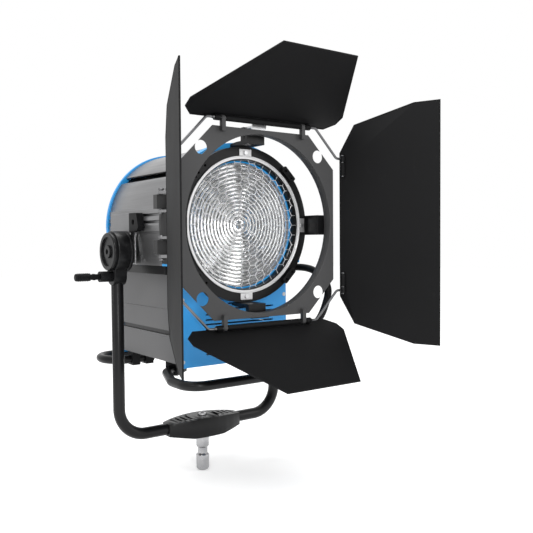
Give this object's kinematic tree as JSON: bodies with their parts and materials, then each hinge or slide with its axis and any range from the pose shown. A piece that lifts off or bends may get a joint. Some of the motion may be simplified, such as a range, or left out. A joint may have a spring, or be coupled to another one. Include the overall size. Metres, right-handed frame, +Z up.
{
  "type": "fresnel spotlight",
  "caption": "Fresnel spotlight head with side-hinged lens door, rotating four-leaf barndoor, focusing lamp carriage, skids and a tilting tube yoke on a spigot.",
  "frame": {"origin": "on the spigot's axis at the shoulder that rests on the stand's socket", "axes": "+Z up along the spigot's axis, light leaves along -Y, tilt axis along X, left side of the lamp is -X"},
  "size_m": [0.5882, 0.6259, 0.8162],
  "materials": {
    "blue_paint": "satin powder coat",
    "grey_panel": "satin, fine ribs",
    "black_paint": "satin powder coat",
    "black_alloy": "satin powder coat",
    "leaf_paint": "matte, heat resistant",
    "frame_paint": "matte",
    "steel": "bright zinc",
    "bare_aluminium": "cut and brushed",
    "rail": "anodised",
    "spigot_steel": "plated",
    "lens_glass": "moulded",
    "lamp_glass": "clear quartz",
    "mirror": "polished",
    "ceramic": "unglazed",
    "black_plastic": "moulded",
    "red_plastic": "moulded",
    "cable_rubber": "matte",
    "rubber": "matte",
    "blue_seal": "matte silicone"
  },
  "bodies": {
    "yoke": {"yoke_tube": "black_paint", "yoke_centre": "black_alloy", "spigot": "spigot_steel", "spigot_bolt": "steel", "yoke_ends": "black_alloy", "pivot_bolts": "black_paint"},
    "tilt_lock": {"lock_hub": "black_plastic"},
    "tilt_lock_tip": {"lock_tip": "black_plastic"},
    "tilt_carriage": {"brake_discs": "black_paint", "slide_rails": "rail", "slide_keys": "steel", "rail_clamps": "black_plastic"},
    "head": {"front_casting": "blue_paint", "rear_casting": "blue_paint", "top_cover": "grey_panel", "vent_baffles": "black_alloy", "side_panels": "grey_panel", "divider": "black_alloy", "lower_panels": "grey_panel", "gap_strip": "black_alloy", "base_tray": "grey_panel", "front_cover": "blue_paint", "rear_cover": "blue_paint", "cover_screws": "steel", "skids": "black_paint", "skid_clamps": "black_plastic", "feet": "rubber", "cable": "cable_rubber", "cable_gland": "black_plastic", "cable_plug": "black_plastic", "switch_frame": "black_plastic", "ignitor": "bare_aluminium", "rod_supports": "bare_aluminium", "guide_rods": "steel", "door_hinge_pins": "steel"},
    "switch": {"switch_rocker": "red_plastic"},
    "focus_screw": {"lead_screw": "steel", "focus_knob": "black_plastic"},
    "lamp_carriage": {"lamp_base": "bare_aluminium", "reflector": "mirror", "lamp_holder": "ceramic", "lamp": "lamp_glass"},
    "lens_door": {"door_ring": "black_alloy", "lens": "lens_glass", "lens_rim": "blue_seal", "mesh_ring": "bare_aluminium", "wire_mesh": "steel", "mesh_screws": "steel", "accessory_brackets": "black_alloy", "door_blocks": "black_alloy", "door_hinge_lugs": "bare_aluminium"},
    "latch": {"top_latch": "steel"},
    "barndoor": {"barndoor_frame": "frame_paint", "hinge_lugs": "frame_paint", "hinge_knobs": "black_plastic", "frame_rods": "steel"},
    "leaf_top": {"top_leaf": "leaf_paint"},
    "leaf_right": {"right_leaf": "leaf_paint"},
    "leaf_bottom": {"bottom_leaf": "leaf_paint"},
    "leaf_left": {"left_leaf": "leaf_paint"}
  },
  "joints": [
    {"name": "tilt", "type": "hinge", "parent": "yoke", "child": "tilt_carriage", "pos_m": [0, 0, 0.398], "axis": [-1, 0, 0], "range_deg": [-40, 90]},
    {"name": "tilt_lock_turn", "type": "hinge", "parent": "yoke", "child": "tilt_lock", "pos_m": [-0.23, 0, 0.349], "axis": [1, 0, 0], "continuous": true},
    {"name": "tilt_lock_fold", "type": "hinge", "parent": "tilt_lock", "child": "tilt_lock_tip", "pos_m": [-0.243, 0, 0.349], "axis": [0, 1, 0], "range_deg": [-80, 80]},
    {"name": "balance_slide", "type": "slide", "parent": "tilt_carriage", "child": "head", "axis": [0, 1, 0], "range_m": [-0.01, 0.04]},
    {"name": "switch_rock", "type": "hinge", "parent": "head", "child": "switch", "pos_m": [0.078, 0.136, 0.3], "axis": [1, 0, 0], "range_deg": [-8, 8]},
    {"name": "lamp_focus", "type": "slide", "parent": "head", "child": "lamp_carriage", "axis": [0, 1, 0], "range_m": [-0.038, 0.038]},
    {"name": "focus_turn", "type": "hinge", "parent": "head", "child": "focus_screw", "pos_m": [0, 0.1, 0.386], "axis": [0, -1, 0], "range_deg": [-720, 720]},
    {"name": "door_swing", "type": "hinge", "parent": "head", "child": "lens_door", "pos_m": [-0.166, -0.138, 0.449], "axis": [0, 0, -1], "range_deg": [0, 95]},
    {"name": "latch_lift", "type": "hinge", "parent": "lens_door", "child": "latch", "pos_m": [0, -0.192, 0.63], "axis": [-1, 0, 0], "range_deg": [0, 55]},
    {"name": "barndoor_turn", "type": "hinge", "parent": "lens_door", "child": "barndoor", "pos_m": [0, -0.232, 0.449], "axis": [0, 1, 0], "continuous": true},
    {"name": "leaf_top_swing", "type": "hinge", "parent": "barndoor", "child": "leaf_top", "pos_m": [0, -0.236, 0.639], "axis": [-1, 0, 0], "range_deg": [-98.5, 36.5]},
    {"name": "leaf_right_swing", "type": "hinge", "parent": "barndoor", "child": "leaf_right", "pos_m": [0.198, -0.236, 0.449], "axis": [0, 0, 1], "range_deg": [-67, 33]},
    {"name": "leaf_bottom_swing", "type": "hinge", "parent": "barndoor", "child": "leaf_bottom", "pos_m": [0, -0.236, 0.259], "axis": [1, 0, 0], "range_deg": [-96, 39]},
    {"name": "leaf_left_swing", "type": "hinge", "parent": "barndoor", "child": "leaf_left", "pos_m": [-0.198, -0.236, 0.449], "axis": [0, 0, -1], "range_deg": [-57.5, 42.5]}
  ],
  "couplings": [
    {"joint": "focus_turn", "follows": "lamp_focus", "rad_per_m": 251.33}
  ]
}
